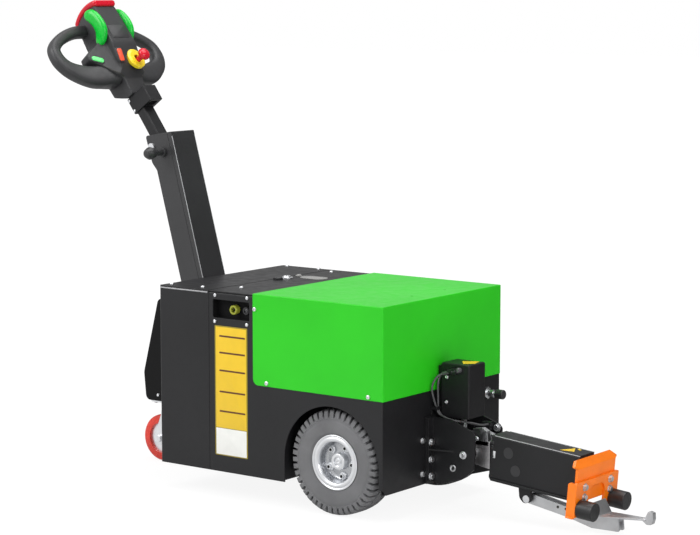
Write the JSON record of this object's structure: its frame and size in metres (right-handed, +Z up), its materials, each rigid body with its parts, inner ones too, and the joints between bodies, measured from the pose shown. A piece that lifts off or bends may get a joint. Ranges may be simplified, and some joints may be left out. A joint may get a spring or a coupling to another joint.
{
  "type": "electric tow tug",
  "caption": "Walk-behind electric tow tug: box body with green battery hood, two driven wheels, nose castor, leaning tiller and a lifting tow arm with hook coupling.",
  "frame": {"origin": "floor point under the middle of the whole machine (bottom centre of its box)", "axes": "+X towards the tow hook, the tiller is at -X; +Y to the right of an operator who walks ahead; +Z up"},
  "size_m": [1.7608, 0.502, 1.2207],
  "materials": {
    "black_coat": "semi-matt powder coat",
    "chassis_steel": "matt primer",
    "battery_case": "matt",
    "green_coat": "satin powder coat",
    "orange_coat": "satin powder coat",
    "dark_plastic": "fine grain",
    "green_plastic": "gloss",
    "red_plastic": "gloss",
    "yellow_plastic": "gloss",
    "tyre_rubber": "matt",
    "buffer_rubber": "satin",
    "castor_tread": "satin",
    "zinc_steel": "zinc plated",
    "bare_aluminium": "machined"
  },
  "bodies": {
    "chassis": {"actuator_case": "black_coat", "battery_block": "battery_case", "cable_body": "buffer_rubber", "cable_case": "buffer_rubber", "case_bracket": "black_coat", "castor_head": "zinc_steel", "drive_unit": "chassis_steel", "end_panel": "black_coat", "floor_pan": "chassis_steel", "hitch_cheek_left": "black_coat", "hitch_cheek_right": "black_coat", "hitch_strip_left": "black_coat", "hitch_strip_right": "black_coat", "hood": "green_coat", "index_plunger": "dark_plastic", "lift_actuator": "zinc_steel", "lift_pin": "zinc_steel", "nose_bracket": "black_coat", "nose_shell": "black_coat", "release_knob": "dark_plastic", "side_panel_left": "black_coat", "side_panel_right": "black_coat", "socket_tray": "dark_plastic", "tiller_column": "black_coat", "tiller_pin": "zinc_steel", "top_plate_front": "black_coat", "top_plate_rear": "black_coat", "wheel_well_left": "black_coat", "wheel_well_right": "black_coat"},
    "wheel_left": {"drive_tyre_left": "tyre_rubber", "drive_rim_left": "zinc_steel", "wheel_hub_left": "zinc_steel"},
    "wheel_right": {"drive_tyre_right": "tyre_rubber", "drive_rim_right": "zinc_steel", "wheel_hub_right": "zinc_steel"},
    "castor_swivel": {"castor_fork": "zinc_steel", "castor_axle": "zinc_steel"},
    "castor_wheel": {"castor_tyre": "castor_tread", "castor_rim": "zinc_steel"},
    "tiller": {"tiller_arm": "black_coat", "head_clamp": "black_coat", "tiller_head": "dark_plastic", "belly_button": "red_plastic", "stop_collar": "yellow_plastic", "stop_button": "red_plastic", "rocker_switch": "red_plastic", "hand_grip_left": "dark_plastic", "hand_grip_right": "dark_plastic", "thumb_lever_left": "green_plastic", "thumb_lever_right": "green_plastic"},
    "tow_arm": {"knuckle": "bare_aluminium", "arm_cover": "black_coat", "arm_base": "black_coat", "coupling_bracket": "black_coat", "coupling_plate": "orange_coat", "bumper_left": "buffer_rubber", "bumper_right": "buffer_rubber", "hook_pin": "zinc_steel"},
    "actuator_rod": {"lift_rod": "zinc_steel"},
    "tow_hook": {"hook_lever": "zinc_steel"}
  },
  "joints": [
    {"name": "wheel_left_spin", "type": "hinge", "parent": "chassis", "child": "wheel_left", "pos_m": [0.14235, -0.2025, 0.13], "axis": [0, 1, 0], "continuous": true},
    {"name": "wheel_right_spin", "type": "hinge", "parent": "chassis", "child": "wheel_right", "pos_m": [0.14235, 0.2025, 0.13], "axis": [0, 1, 0], "continuous": true},
    {"name": "castor_swivel_turn", "type": "hinge", "parent": "chassis", "child": "castor_swivel", "pos_m": [-0.57265, 0, 0.142], "axis": [0, 0, 1], "continuous": true},
    {"name": "castor_wheel_spin", "type": "hinge", "parent": "castor_swivel", "child": "castor_wheel", "pos_m": [-0.60865, 0, 0.0625], "axis": [0, 1, 0], "continuous": true},
    {"name": "tiller_tilt", "type": "hinge", "parent": "chassis", "child": "tiller", "pos_m": [-0.60569, 0, 0.84302], "axis": [0, 1, 0], "range_deg": [-24, 36]},
    {"name": "tow_arm_lift", "type": "hinge", "parent": "chassis", "child": "tow_arm", "pos_m": [0.39335, 0, 0.151], "axis": [0, -1, 0], "range_deg": [0, 12]},
    {"name": "lift_rod_slide", "type": "slide", "parent": "chassis", "child": "actuator_rod", "axis": [0, 0, -1], "range_m": [0, 0.0085]},
    {"name": "hook_swing", "type": "hinge", "parent": "tow_arm", "child": "tow_hook", "pos_m": [0.54936, 0, 0.05804], "axis": [0, -1, 0], "range_deg": [0, 6]}
  ],
  "couplings": [
    {"joint": "lift_rod_slide", "follows": "tow_arm_lift", "m_per_rad": 0.0391}
  ]
}
